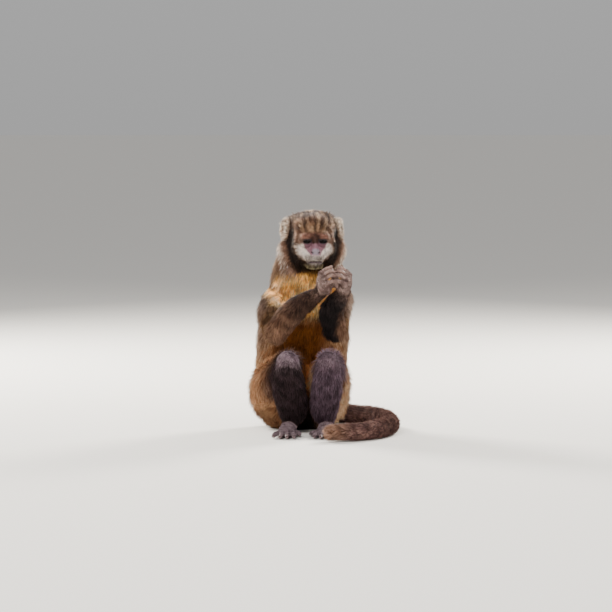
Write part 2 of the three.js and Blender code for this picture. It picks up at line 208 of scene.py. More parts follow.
def hand_form(side):
    """Palm, four curled fingers and a thumb."""
    palmward = -1.0 if side == "right" else 1.0
    origin, axes = WRIST[side], HAND_AXES[side]
    palm = joined(blob([0, -palmward, 12], [13.5, 6.5, 16]), blob([7, palmward * 3, 8], [6, 5.5, 11]),
                  blob([-8, palmward * 5, 10], [6, 6, 11]))
    hinge = [-palmward, 0, 0]
    digits = []
    for across, lengths in FINGERS:
        base = [across, -palmward, 25 - abs(across) * 0.3]
        rows, direction = digit(base, [across * 0.012, 0, 1], hinge, lengths, (50, 76, 50), 3.1)
        knuckles = joined(*[blob(row[:3], [row[3] * 1.1] * 3) for row in rows[:3]])
        digits.append(joined(sweep(rows, hinge, 18), knuckles))
        tip_frame(rows, direction, np.cross(direction, hinge), origin, axes)
    rows, direction = digit([10, palmward * 3, 8], [0.5, palmward * 0.5, 0.8], [0, 1, 0], (12, 9, 7), (-6, -18, -18), 3.5)
    digits.append(sweep(rows, [0, 1, 0], 14))
    tip_frame(rows, direction, [0, -palmward, 0], origin, axes)
    return [placed(palm, origin, axes)], [placed(each, origin, axes) for each in digits]


def foot_form(side):
    """Heel, instep, four toes and a great toe that stands away to the inner side."""
    inner = -1.0 if side == "left" else 1.0
    origin, axes = HEEL[side], FOOT_AXES[side]
    instep = sweep([[0, 8.5, -4, 8.6, 8.5], [0, 10, 14, 10.5, 10], [0, 7.6, 40, 12.5, 7.8], [0, 5.2, 60, 13.5, 5.2]],
                   [1, 0, 0], 24)
    digits = []
    for across, lengths in TOES:
        base = [across, 4.3, 58 - abs(across) * 0.35]
        rows, direction = digit(base, [across * 0.012, 0.12, 1], [1, 0, 0], lengths, (0, 9, 14), 3.3)
        knuckles = joined(*[blob(row[:3], [row[3] * 1.08] * 3) for row in rows[1:3]])
        digits.append(joined(sweep(rows, [1, 0, 0], 18), knuckles))
        tip_frame(rows, direction, np.cross(direction, [1, 0, 0]), origin, axes)
    rows, direction = digit([inner * 9, 4.4, 30], [inner * 0.55, 0.02, 0.85], [0, 1, 0], (12, 10, 7),
                            (0, -inner * 12, -inner * 10), 3.7)
    digits.append(sweep(rows, [0, 1, 0], 14))
    tip_frame(rows, direction, [0, 1, 0], origin, axes)
    return [placed(instep, origin, axes)], [placed(each, origin, axes) for each in digits]


def ear_axes(side):
    """The ear faces outwards and a little forwards."""
    along = np.array([side * 0.88, -0.47, 0.05]) @ HEAD_AXES
    return frame_rows(along, [0, 0, 1])


# ---------------------------------------------------------------------------------------------------------------
# The skin's field: negative inside the flesh, in millimetres, on a grid that is fine at the face, hands and feet
# ---------------------------------------------------------------------------------------------------------------


def spaced(*runs):
    """Grid lines over runs of start and step, the last run's step being the end of the grid."""
    lines = [runs[0][0]]
    for (start, step), (end, _) in zip(runs, runs[1:]):
        count = max(1, round((end - lines[-1]) / step))
        lines.extend(np.linspace(lines[-1], end, count + 1)[1:])
    return np.array(lines)


FINE = 1.0
GRID = [
    spaced((-90, 2.9 * FINE), (-46, 1.7 * FINE), (-12, 1.06 * FINE), (44, 1.6 * FINE), (78, 3 * FINE), (146, 0)),
    spaced((-200, 2.6 * FINE), (-172, 1.8 * FINE), (-154, 1.4 * FINE), (-116, 1.06 * FINE), (-84, 2.2 * FINE),
           (-40, 3.2 * FINE), (96, 0)),
    spaced((-1.5, 1.3 * FINE), (24, 3.2 * FINE), (210, 1.5 * FINE), (252, 1.06 * FINE), (316, 2.0 * FINE), (342, 0)),
]
field = np.full([len(lines) for lines in GRID], 40.0, np.float32)


def window(low, high):
    """The slices of the grid between two corners."""
    return tuple(slice(max(0, np.searchsorted(g, a) - 1), min(len(g), np.searchsorted(g, b) + 1))
                 for g, a, b in zip(GRID, low, high))


def grid_depths(form, margin):
    """A form's distances on the part of the grid that it reaches: the box, and an array over it."""
    reach = np.abs(form[1] * form[2][:, :, None]).sum(1) + margin
    box = window((form[0] - reach).min(0), (form[0] + reach).max(0))
    best = np.full([s.stop - s.start for s in box], 40.0, np.float32)
    for middle, axes, sizes, r in zip(*form, reach):
        part = window(middle - r, middle + r)
        local = tuple(slice(p.start - b.start, p.stop - b.start) for p, b in zip(part, box))
        offset = [(GRID[i][part[i]] - middle[i]).astype(np.float32) for i in range(3)]
        k = g = 0
        for row, size in zip(axes, sizes):
            along = (row[0] * offset[0][:, None, None] + row[1] * offset[1][:, None] + row[2] * offset[2]) / size
            k = k + along**2
            g = g + (along / size) ** 2
        k = np.sqrt(k)
        best[local] = np.minimum(best[local], k * (k - 1.0) / (np.sqrt(g) + 1e-6))
    return box, best


def blend_min(a, b, width):
    """The lesser of two, lowered by h^2 w/4 where they are within the width w, with h = 1 - |a - b|/w."""
    h = np.maximum(width - np.abs(a - b), 0.0) / width
    return np.minimum(a, b) - h * h * width * 0.25


def grow(form, width):
    """Adds a form to the flesh, with a fillet about as wide as the width."""
    box, part = grid_depths(form, width + 3.0)
    field[box] = blend_min(field[box], part, width)


def carve(form, width):
    """Takes a form out of the flesh, with a rounded edge."""
    box, part = grid_depths(form, width + 3.0)
    field[box] = -blend_min(-field[box], part, width)


def crease(box_low, box_high, depth):
    """Adds a depth, a function of place in the head's own frame, to the field within a box of that frame."""
    corners = np.array([in_head(x, y, z) for x in (box_low[0], box_high[0]) for y in (box_low[1], box_high[1])
                        for z in (box_low[2], box_high[2])])
    box = window(corners.min(0), corners.max(0))
    x, y, z = np.meshgrid(*[GRID[i][box[i]] for i in range(3)], indexing="ij")
    local = (np.stack([x, y, z], -1) - HEAD_ORIGIN) @ HEAD_AXES.T
    field[box] += depth(local[..., 0], local[..., 1], local[..., 2]).astype(np.float32)


def bell(value, width):
    """exp(-(v/w)^2)."""
    return np.exp(-((value / width) ** 2))


trunk_form = sweep(TRUNK, BODY_ACROSS, 60)
tail_form = sweep(TAIL, [0, 0, 1], 110)
limb_forms = {name: sweep(rows, BODY_ACROSS, 36) for name, rows in LIMBS.items()}

grow(trunk_form, 4)
cranium = head_blob(0, 8, 8, 34.5, 36, 31)
grow(cranium, 18)
grow(head_blob(0, -12, 13, 27, 22.5, 20), 12)  # forehead
grow(joined(head_blob(0, -14, -10, 22, 22, 23), head_blob(16, -4, -22, 14, 20, 16), head_blob(-16, -4, -22, 14, 20, 16)), 8)
for side in (1, -1):
    grow(head_blob(side * 20, -15, -9, 12, 15, 13), 7)  # cheek
    grow(head_blob(side * 19.5, -22, 0, 8, 10, 10), 7)  # cheekbone
    grow(head_blob(side * 29, 7, -14, 12, 16, 17), 9)  # side of the neck
    grow(head_blob(side * 9.5, -33.6, 8.0, 11.5, 9.2, 5.4), 6)  # brow
grow(head_blob(0, -26, -22, 14.5, 24, 12.5), 8)  # muzzle
grow(head_blob(0, -33, -25.5, 13.5, 17.0, 6.0), 4)  # upper lip
grow(head_blob(0, -24, -35.5, 12.5, 20, 7), 5)  # chin
grow(sweep([[*in_head(0, -35.5, 5), 3.6, 4], [*in_head(0, -39.5, -5), 3.8, 4.6], [*in_head(0, -46.5, -14.5), 4.6, 4.4]],
           HEAD_AXES[0], 12), 4)  # bridge of the nose
for side in (1, -1):
    grow(head_blob(side * 4.6, -44.8, -15.8, 3.2, 4.0, 3.0), 2.5)  # wing of the nose

for side in (1, -1):
    axes = ear_axes(side)
    base = in_head(*EAR_PLACE * [side, 1, 1])
    grow(joined(head_blob(side * 31, 10, 12, 9, 8, 11), head_blob(side * 35, 9, 10, 7, 6, 9)), 6)
    rim_turn = np.linspace(0.0, 2 * math.pi, 40)
    rim = base + np.outer(12.6 * np.cos(rim_turn), axes[0]) + np.outer(8.8 * np.sin(rim_turn), axes[1])
    grow(blob(base - axes[2] * 2.2, [13.2, 9.5, 2.6], axes), 5)
    grow((rim, np.repeat(axes[None], 40, 0), np.tile([1.9, 1.9, 1.9], (40, 1))), 1.6)
    carve(blob(base + axes[2] * 1.2, [10.8, 7.0, 3.2], axes), 1.5)
    carve(blob(base - axes[2] * 0.6 + axes[1] * side * 2.0 - axes[0] * 3, [5.2, 3.6, 2.8], axes), 2)

for name in ("upper_arm_left", "upper_arm_right"):
    grow(limb_forms[name], 14)
for name in ("forearm_left", "forearm_right"):
    grow(limb_forms[name], 5)
for name in ("thigh_left", "thigh_right"):
    grow(limb_forms[name], 7)
for name in ("shin_left", "shin_right"):
    grow(limb_forms[name], 5)
grow(tail_form, 8)
digit_forms = {}
for side in ("left", "right"):
    palms, fingers = hand_form(side)
    soles, toes = foot_form(side)
    grow(palms[0], 5)
    grow(soles[0], 6)
    for each in fingers:
        grow(each, 1.6)
    for each in toes:
        grow(each, 1.4)
    digit_forms["hand_" + side] = joined(palms[0], *fingers)
    digit_forms["foot_" + side] = joined(soles[0], *toes)

# Face: eye sockets, lids, nostrils, mouth and folds
for side in (1, -1):
    carve(head_blob(side * EYE_SIDE, EYE_DEPTH - 5, -0.6, 8.2, 9.5, 5.2), 4)
    lid = head_blob(side * EYE_SIDE, EYE_DEPTH, 0, EYE_RADIUS + 2.1, EYE_RADIUS + 2.1, EYE_RADIUS + 1.9)
    grow(lid, 2.2)
    carve(head_blob(side * EYE_SIDE, EYE_DEPTH - EYE_RADIUS - 2, -0.9, 6.2, 7.0, 1.85), 0.8)
    carve(head_blob(side * EYE_SIDE, EYE_DEPTH, 0, EYE_RADIUS + 0.15, EYE_RADIUS + 0.15, EYE_RADIUS + 0.15), 0.2)
    slit = np.array([[side * 0.8, 0.0, 0.6], [0.0, 1.0, 0.0], [-side * 0.6, 0.0, 0.8]]) @ HEAD_AXES
    carve(blob(in_head(side * 5.3, -47.6, -16.6), [2.4, 3.4, 0.9], slit), 0.6)


def mouth_line(x, y, z):
    """A groove along the lips' meeting, which sinks towards the corners."""
    return 1.5 * bell(z + 30.2 + 0.012 * x**2, 0.8) * smooth_step(14.5, 11.0, abs(x)) * smooth_step(-34, -38, y)


def face_folds(x, y, z):
    """Folds over the brow, under the eyes and beside the nose, and the groove down the upper lip."""
    front = smooth_step(-28, -33, y)
    ax = abs(x)
    brow = 0.5 * bell(z - 15.5 - 0.02 * x**2, 1.3) + 0.45 * bell(z - 20.0 - 0.02 * x**2, 1.3)
    frown = 0.7 * bell(ax - 2.4, 0.9) * bell(z - 8, 5)
    bag = 0.25 * bell(z + 4.9 - 0.03 * (ax - 12.5) ** 2, 0.9) * bell(ax - 12.5, 7)
    bag = bag + 0.35 * bell(z + 8.6 - 0.03 * (ax - 12.5) ** 2, 1.0) * bell(ax - 12.5, 8)
    beside = 0.8 * bell(ax - 9.6 - 0.35 * np.maximum(-z - 16, 0), 1.2) * smooth_step(-27, -20, z) * smooth_step(-8, -13, z)
    groove = 0.35 * bell(x, 1.4) * bell(z + 23.5, 3.5)
    across_nose = 0.35 * bell(z + 1.5, 0.8) * bell(x, 5) + 0.3 * bell(z + 4.5, 0.8) * bell(x, 5)
    return front * (brow * bell(x, 18) + frown + bag + beside + groove + across_nose)


crease((-17, -56, -36), (17, -32, -25), mouth_line)
crease((-30, -56, -30), (30, -26, 26), face_folds)
field[:, :, GRID[2] < 0.4] = np.maximum(field[:, :, GRID[2] < 0.4], 0.4)  # the flesh ends flat on the ground
for axis in range(3):
    for end in (0, -1):
        edge = [slice(None)] * 3
        edge[axis] = end
        field[tuple(edge)] = np.maximum(field[tuple(edge)], 1.0)


def level_surface(values, lines):
    """
    The closed surface where the values pass through zero: one vertex in each grid cell that it crosses, at the mean
    of the cell's edge crossings, and one quad round each grid edge that it crosses.
    """
    inside = values < 0
    corner = [inside[i : i + inside.shape[0] - 1, j : j + inside.shape[1] - 1, k : k + inside.shape[2] - 1]
              for i in (0, 1) for j in (0, 1) for k in (0, 1)]
    filled = sum(c.astype(np.int8) for c in corner)
    cells = np.argwhere((filled > 0) & (filled < 8))
    number = np.full(filled.shape, -1, np.int32)
    number[tuple(cells.T)] = np.arange(len(cells))
    total = np.zeros((len(cells), 3))
    crossings = np.zeros(len(cells))
    for axis in range(3):
        others = [a for a in range(3) if a != axis]
        for i in (0, 1):
            for j in (0, 1):
                start = cells.copy()
                start[:, others[0]] += i
                start[:, others[1]] += j
                end = start.copy()
                end[:, axis] += 1
                f0, f1 = values[tuple(start.T)], values[tuple(end.T)]
                crosses = (f0 < 0) != (f1 < 0)
                t = np.where(crosses, f0 / np.where(crosses, f0 - f1, 1.0), 0.0)
                place = np.stack([lines[a][start[:, a]] for a in range(3)], 1)
                place[:, axis] += t * (lines[axis][end[:, axis]] - lines[axis][start[:, axis]])
                total += place * crosses[:, None]
                crossings += crosses
    points = total / crossings[:, None]
    quads = []
    for axis in range(3):
        a, b = [(1, 2), (2, 0), (0, 1)][axis]
        low = [slice(None)] * 3
        high = [slice(None)] * 3
        low[axis] = slice(None, -1)
        high[axis] = slice(1, None)
        first, second = inside[tuple(low)], inside[tuple(high)]
        edges = np.argwhere(first != second)
        edges = edges[(edges[:, a] > 0) & (edges[:, b] > 0)]
        edges = edges[(edges[:, a] < inside.shape[a] - 1) & (edges[:, b] < inside.shape[b] - 1)]
        ring = []
        for da, db in ((-1, -1), (0, -1), (0, 0), (-1, 0)):
            cell = edges.copy()
            cell[:, a] += da
            cell[:, b] += db
            ring.append(number[tuple(cell.T)])
        ring = np.stack(ring, 1)
        outward = inside[tuple(edges.T)]
        quads.append(np.where(outward[:, None], ring, ring[:, ::-1]))
    return points, np.concatenate(quads)


def relaxed(points, quads, rounds, share):
    """Each vertex moved by a share towards the mean of its neighbours, then the same away, which keeps the size."""
    starts = quads.ravel()
    ends = np.roll(quads, -1, axis=1).ravel()
    count = np.bincount(starts, minlength=len(points)) + np.bincount(ends, minlength=len(points))
    for step in range(2 * rounds):
        mean = np.stack([np.bincount(starts, points[ends, i], len(points)) + np.bincount(ends, points[starts, i], len(points))
                         for i in range(3)], 1) / count[:, None]
        points = points + (mean - points) * (share if step % 2 == 0 else -share * 1.03)
    return points


skin_points, skin_quads = level_surface(field, GRID)
skin_points = relaxed(skin_points, skin_quads, 2, 0.45)
skin_points[:, 2] = np.maximum(skin_points[:, 2], 0.2)


def mesh_object(name, points, faces, smooth=True):
    """A mesh of equal-sided faces from arrays, in metres."""
    mesh = bpy.data.meshes.new(name)
    mesh.vertices.add(len(points))
    mesh.vertices.foreach_set("co", (np.asarray(points) * 0.001).astype(np.float32).ravel())
    sides = faces.shape[1]
    mesh.loops.add(faces.size)
    mesh.loops.foreach_set("vertex_index", faces.astype(np.int32).ravel())
    mesh.polygons.add(len(faces))
    mesh.polygons.foreach_set("loop_start", np.arange(0, faces.size, sides, dtype=np.int32))
    mesh.polygons.foreach_set("use_smooth", np.full(len(faces), smooth))
    mesh.update(calc_edges=True)
    mesh.validate()
    piece = bpy.data.objects.new(name, mesh)
    bpy.context.scene.collection.objects.link(piece)
    return piece


# ---------------------------------------------------------------------------------------------------------------
# What the skin knows of itself: its parts, its facing, the lie of the hair, and the markings with painted light and
# shade
# ---------------------------------------------------------------------------------------------------------------

PARTS = {"head": joined(cranium, head_blob(29, 7, -14, 12, 16, 17), head_blob(-29, 7, -14, 12, 16, 17), head_blob(0, -12, 13, 27, 22.5, 20), head_blob(0, -14, -10, 22, 22, 23), head_blob(0, -27, -22, 14.5, 25, 12.5),
                        head_blob(20, -15, -9, 12, 15, 13), head_blob(-20, -15, -9, 12, 15, 13),
                        head_blob(41, 9, 16, 7, 7, 13), head_blob(-41, 9, 16, 7, 7, 13),
                        head_blob(0, -24, -34, 12.5, 20, 7)),
         "trunk": trunk_form, "tail": tail_form, **limb_forms, **digit_forms}
NAMES = list(PARTS)
corners = skin_points[skin_quads]
quad_cross = np.cross(corners[:, 2] - corners[:, 0], corners[:, 3] - corners[:, 1])
facing = unit(np.stack([np.bincount(skin_quads.ravel(), np.repeat(quad_cross[:, i], 4), len(skin_points))
                        for i in range(3)], 1))
part_depth = np.stack([depths(tuple(a[::3] for a in form) if len(form[0]) > 30 else form, skin_points)
                       for form in PARTS.values()], 1)
share = np.exp(-np.clip(part_depth - part_depth.min(1, keepdims=True), 0, 60) / 3.0)
share /= share.sum(1, keepdims=True)
part = dict(zip(NAMES, share.T))
both = lambda name: part[name + "_left"] + part[name + "_right"]
head_place = (skin_points - HEAD_ORIGIN) @ HEAD_AXES.T
head_facing = facing @ HEAD_AXES.T
hx, hy, hz = head_place.T
px, py, pz = skin_points.T


def lines_of(form):
    """The middles of a swept form and the directions in which it runs."""
    middles = form[0]
    return middles, unit(np.gradient(middles, axis=0))


def nearest_run(form, points):
    """For each point: the direction of a swept form at its nearest middle, and how far along the form that is, 0 to 1."""
    middles, runs = lines_of(form)
    near = np.zeros(len(points), int)
    for start in range(0, len(points), 20000):
        rows = points[start : start + 20000]
        near[start : start + 20000] = ((rows[:, None] - middles[None]) ** 2).sum(2).argmin(1)
    return runs[near], near / (len(middles) - 1.0)


along = {}
lie = np.zeros_like(skin_points)
on_top = smooth_step(0.35, 0.9, facing[:, 2])[:, None]
for name, form in PARTS.items():
    if name == "head":
        run = unit(head_place - [0, -62, -8]) + np.outer(smooth_step(-12, 34, hy), [0, 0, -1.5])
        run += np.outer(smooth_step(14, -10, hz) * smooth_step(8, 24, abs(hx)), [0, 0, -0.7])
        run = run @ HEAD_AXES
    elif name.startswith("hand") or name.startswith("foot"):
        axes = (HAND_AXES if name.startswith("hand") else FOOT_AXES)[name[5:]]
        run = np.tile(axes[2], (len(skin_points), 1))
    else:
        run, along[name] = nearest_run(form, skin_points)
        if name == "trunk":
            run = -run
        outer = -1.0 if name.endswith("right") else 1.0
        if name.startswith("thigh"):
            run = run * (0.25 + 0.9 * on_top) + [outer * 0.3, -0.25, -0.9]
        if name.startswith("upper_arm"):
            run = run * (0.3 + on_top) + [outer * 0.15, 0.0, -0.9]
        if name.startswith("forearm"):
            run = run * -0.2 + [outer * 0.1, 0.05, -0.9]
    lie += run * part[name][:, None]
lie[:, 2] -= 0.3 * part["trunk"]
print("fields")


def ripple(points, wavelength, seed):
    """A smooth random value about -1 to 1: the sum of twelve sines that run in random directions."""
    random = np.random.default_rng(seed)
    directions = unit(random.normal(size=(12, 3))) * random.uniform(0.6, 1.5, (12, 1)) * 2 * math.pi / wavelength
    return np.sin(points @ directions.T + random.uniform(0, 2 * math.pi, 12)).sum(1) / 3.5


# Bare places: the face round the eyes and nose, the lips, the palms and soles, the inside of the ears
front = smooth_step(-22, -30, hy)
width_at = np.interp(hz, [-24, -20, -16, -10, -3, 5], [5.5, 7.5, 10.5, 15.5, 18, 16])
bare_face = front * smooth_step(1.2, 0.9, abs(hx) / width_at) * smooth_step(-23.5, -19.5, hz) * smooth_step(5.0, 2.6, hz)
bare_face *= 1 - smooth_step(5.5, 3.5, abs(hx)) * smooth_step(-4.0, -1.0, hz)
lips = front * smooth_step(12, 9.5, abs(hx)) * smooth_step(3.0, 1.6, abs(hz + 30.4 + 0.012 * hx**2))
ear_inside = np.zeros(len(skin_points))
ear = np.zeros(len(skin_points))
for side in (1, -1):
    away = (skin_points - in_head(*EAR_PLACE * [side, 1, 1])) @ ear_axes(side).T
    ear_inside = np.maximum(ear_inside, smooth_step(1.05, 0.85, np.hypot(away[:, 0] / 12.4, away[:, 1] / 8.8))
                            * smooth_step(0.2, 0.7, facing @ ear_axes(side)[2]) * smooth_step(-8, -5, away[:, 2]))
    ear = np.maximum(ear, smooth_step(1.45, 1.15, np.hypot(away[:, 0] / 13, away[:, 1] / 9.2)) * smooth_step(9, 6, abs(away[:, 2] + 2)))
palm = np.zeros(len(skin_points))
finger = np.zeros(len(skin_points))
for side, palmward in (("left", 1.0), ("right", -1.0)):
    away = (skin_points - WRIST[side]) @ HAND_AXES[side].T
    inner = facing @ (HAND_AXES[side][1] * palmward)
    palm = np.maximum(palm, part["hand_" + side] * smooth_step(-0.1, 0.35, inner))
    finger = np.maximum(finger, part["hand_" + side] * smooth_step(30, 36, away[:, 2] + palmward * away[:, 1]))
    away = (skin_points - HEEL[side]) @ FOOT_AXES[side].T
    palm = np.maximum(palm, part["foot_" + side] * smooth_step(-0.2, -0.6, facing[:, 2]))
    finger = np.maximum(finger, part["foot_" + side] * smooth_step(76, 84, away[:, 2]))
bare = np.clip(bare_face * part["head"] + lips * part["head"] + ear_inside * 0.8 + palm, 0, 1)

# Hair: length and width of a tuft in mm, and its rise from the skin as the sine of its slope
beside = smooth_step(-16, -2, hy) * smooth_step(14, 26, np.hypot(hx, np.minimum(hz + 8, 0)))
ruff_place = smooth_step(-8, 6, hy) * smooth_step(22, 6, hz)
hair_length = (
    part["head"] * (3.0 + 6.0 * smooth_step(16, 27, abs(hx)) + 7 * smooth_step(9, 26, hz) + 5 * beside + 4 * ruff_place
                    + 3 * smooth_step(0, 20, hy))
    + part["trunk"] * (22 + 4 * smooth_step(-0.2, 0.6, facing[:, 1]) - 2 * smooth_step(225, 262, pz))
    + both("upper_arm") * 21 + both("thigh") * 24
    + sum(part[n] * (18 - 8 * smooth_step(0.55, 1.0, along[n])) for n in along if n.startswith(("forearm", "shin")))
    + part["tail"] * (19 - 3 * along["tail"])
    + (both("hand") + both("foot")) * (4.4 - 2.2 * finger)
)
muzzle = part["head"] * smooth_step(-28, -40, hy)
hair_length = hair_length * (1 - muzzle) + muzzle * 2.6
hair_length = hair_length * (1 - ear) + ear * 8
knee = (both("thigh") + both("shin")) * smooth_step(102, 117, pz) * smooth_step(-78, -90, py)
hair_length *= 1 - 0.66 * knee
chin = part["head"] * smooth_step(-33, -37, hz) * smooth_step(-8, -20, hy) * smooth_step(18, 12, abs(hx))
hair_length += 4.5 * chin
horn = part["head"] * (bell(np.hypot(hx + 27, hz - 31), 9) + bell(np.hypot(hx - 21, hz - 36), 9)) * smooth_step(22, 4, hy)
hair_length += (3.0 * smooth_step(14, 30, hz) + 4.5 * horn) * part["head"]
hair_rise = (0.42 * part["trunk"] + 0.33 * both("thigh") + 0.36 * (both("upper_arm") + both("forearm") + both("shin"))
             + 0.44 * part["tail"] + 0.3 * (both("hand") + both("foot"))
             + part["head"] * (0.16 + 0.2 * smooth_step(-24, 0, hy) + 0.1 * smooth_step(24, 36, hz) + 0.24 * ruff_place))
hair_width = np.clip(0.3 + 0.036 * hair_length, 0.38, 1.1)

def linear(colour):
    """An sRGB hex colour as linear red, green and blue: ((v + 0.055) / 1.055)^2.4, or v / 12.92 where v is small."""
    rgb = np.array([int(colour[i : i + 2], 16) / 255.0 for i in (1, 3, 5)])
    return np.where(rgb > 0.04045, ((rgb + 0.055) / 1.055) ** 2.4, rgb / 12.92)


def paint(rows, weight, colour):
    """Lays a colour over the rows by a weight of 0 to 1."""
    rows += (linear(colour) - rows) * np.clip(weight, 0, 1)[:, None]


# Markings of the coat, with painted rim light, highlights and shade: the middle of each tuft, and its tip
middle = np.tile(linear("#4a3426"), (len(skin_points), 1))
tip = np.tile(linear("#94745a"), (len(skin_points), 1))
outward = np.maximum(facing[:, 0] * np.sign(px - 5), 0)
forward = -facing[:, 1]


def mark(weight, middle_colour, tip_colour):
    """Paints the middles and the tips of the hair."""
    paint(middle, weight, middle_colour)
    paint(tip, weight, tip_colour)


# The belly's own deep orange-brown, laid darker in part as painted shade under the arms
mark(part["trunk"] * smooth_step(-0.2, 0.3, forward) * smooth_step(196, 170, pz), "#6b3c17", "#9c6028")
mark(part["trunk"] * smooth_step(-0.2, 0.3, forward) * smooth_step(125, 100, pz), "#c4743e", "#f0a868")
# Painted shade: the low front of the trunk between the legs laid almost black
mark(part["trunk"] * smooth_step(-0.2, 0.3, forward) * smooth_step(84, 66, pz), "#150d0b", "#241814")
flank = part["trunk"] * smooth_step(0.3, 0.8, outward)
mark(flank * smooth_step(200, 150, pz), "#6f4a32", "#b98d68")
# Painted rim light: paler hair on the side-facing flanks below the shoulders
mark(flank * smooth_step(-0.35, -0.1, forward) * smooth_step(200, 150, pz), "#9a6a44", "#e6c29a")
gold = (part["trunk"] + both("upper_arm") * smooth_step(-66, -50, py)) * smooth_step(-0.15, 0.35, forward) * smooth_step(182, 204, pz)
mark(gold * smooth_step(0.95, 0.7, outward), "#ffb656", "#ffecb8")
mark(gold * smooth_step(0.3, 1.0, ripple(skin_points * [1, 1, 0.4], 9, 33)) * 0.6, "#ffcb80", "#fff2d0")
# Painted highlight: the gold towards the chest's -x side laid paler still, as if in bright light
mark(gold * smooth_step(-18, -34, px) * smooth_step(0.95, 0.7, outward), "#ffc680", "#fff0d4")
mark(both("thigh"), "#7c5238", "#c39670")
mark(part["thigh_right"] * smooth_step(-0.35, 0.1, forward), "#9a6746", "#e0b086")
mark(part["thigh_right"] * smooth_step(58, 36, pz) * smooth_step(-0.35, 0.1, forward), "#6a4732", "#b38862")
mark(part["thigh_left"] * smooth_step(-0.35, 0.1, forward), "#b07e5a", "#f4d2ae")
mark(both("thigh") * smooth_step(-58, -86, py) + part["shin_right"], "#221819", "#4b3b41")
mark(part["thigh_left"] * smooth_step(-58, -86, py) + part["shin_left"], "#40313a", "#867080")
mark(both("shin") * smooth_step(-0.2, 0.5, facing[:, 1]), "#4a3024", "#86644a")
mark(knee * smooth_step(0.2, 1.0, knee), "#74606a", "#b09ba2")
mark(knee * part["shin_left"] + knee * part["thigh_left"], "#594750", "#8f7a84")
side_edge = (part["trunk"] + both("upper_arm") * smooth_step(-78, -60, py)) * smooth_step(100, 175, pz) * smooth_step(-0.2, 0.3, outward)
from_side = abs(px - 2)
mark(side_edge * smooth_step(46, 53, from_side), "#523d32", "#8d7264")
# Painted rim light: a pale fringe along the outermost edge of the sides and upper arms
mark(side_edge * smooth_step(57, 62, from_side) * smooth_step(-0.45, -0.2, forward) * smooth_step(0.7, 0.4, forward) * 0.65, "#80665a", "#dcc6b2")
mark(both("upper_arm") * smooth_step(-60, -78, py), "#46301f", "#96714f")
lower_arm = sum(part["forearm_" + side] * smooth_step(0.2, 0.7, along["forearm_" + side]) for side in ("left", "right"))
mark(both("forearm"), "#4d352a", "#a07a62")
mark(lower_arm, "#2a1c18", "#5e463c")
shaded_arm = part["forearm_left"] + part["upper_arm_left"] * smooth_step(-56, -72, py)
mark(shaded_arm * smooth_step(0.75, 0.3, outward), "#0e0b0c", "#2a2224")
mark(both("hand"), "#6b5450", "#b39b92")
mark(both("foot"), "#66545a", "#a08d92")
mark(part["tail"] * smooth_step(0.03, 0.15, along["tail"]), "#4a3332", "#a07a6e")
# Painted highlight: the tail's last tenth laid paler
mark(part["tail"] * smooth_step(0.9, 0.99, along["tail"]), "#70503f", "#c29a84")
h = part["head"]
streak = ripple(np.stack([hx, hy * 0.18, hz * 0.18], 1), 6.5, 21)
mark(h, "#463026", "#80634e")
mark(h * smooth_step(20, 28, hz), "#33272a", "#7a6a68")
forehead = h * smooth_step(8, 12, hz) * smooth_step(34, 24, hz) * smooth_step(-2, -14, hy) * smooth_step(30, 22, abs(hx))
mark(forehead * 0.8, "#6b4a38", "#a27c60")
mark(h * smooth_step(11, 15, hz) * smooth_step(25, 18, hz) * smooth_step(20, 8, abs(hx)) * smooth_step(-8, -20, hy), "#84644c", "#bd9c7c")
mark(h * smooth_step(9, 18, hz) * smooth_step(0.0, 0.5, streak) * 0.7, "#84694f", "#bda285")
mark(h * smooth_step(9, 18, hz) * smooth_step(0.0, -0.5, streak) * 0.8, "#21150f", "#493427")
mark(h * smooth_step(13, 9, hz) * smooth_step(2, 4, hz) * smooth_step(-20, -27, hy), "#6a483c", "#8f685a")
mark(h * smooth_step(12, 8, hz) * smooth_step(-20, -27, hy) * smooth_step(6, 2, abs(hx)), "#3a261f", "#553a30")
between_eyes = h * smooth_step(-9, -5, hz) * smooth_step(10, 7, hz) * smooth_step(-24, -30, hy) * smooth_step(8, 5, abs(hx))
ring = np.hypot(hx / 29.0, np.minimum(hz + 7, 0) / 30.0)
cheek = h * smooth_step(0.94, 0.74, ring) * smooth_step(0, -5, hz) * smooth_step(-4, -12, hy)
mark(cheek, "#a28979", "#ead7c8")
mark(cheek * smooth_step(0.96, 0.78, ring) * smooth_step(-1, -6, hz) * smooth_step(-6, -12, hy), "#d8cac1", "#fffaf5")
temple = h * smooth_step(17, 21, abs(hx)) * smooth_step(-6, 0, hz) * smooth_step(14, 9, hz) * smooth_step(-4, -12, hy)
mark(temple, "#5a4236", "#a07f69")
mark(h * muzzle * smooth_step(-18, -23, hz), "#857972", "#cdc3bc")
mark(between_eyes, "#38241d", "#573c32")
neck = part["trunk"] * smooth_step(244, 258, pz)
mark(part["trunk"] * smooth_step(247, 255, pz) * smooth_step(-0.1, 0.4, forward) * smooth_step(40, 32, abs(hx)), "#150e0c", "#281b17")
from_middle = np.hypot(hx, np.minimum(hz + 10, 0))
band = (h * np.maximum(smooth_step(0.86, 0.96, ring), smooth_step(-10, -2, hy)) * smooth_step(26, 12, hz)
        + neck * smooth_step(0.0, 0.5, forward)) * smooth_step(37.5, 34.5, from_middle)
mark(band * smooth_step(20, 27, from_middle), "#1a120f", "#33241e")
outside = (h + neck) * smooth_step(26, 10, hz) * np.maximum(smooth_step(34, 37, from_middle), smooth_step(2, 8, hy))
mark(outside, "#533a2d", "#957461")
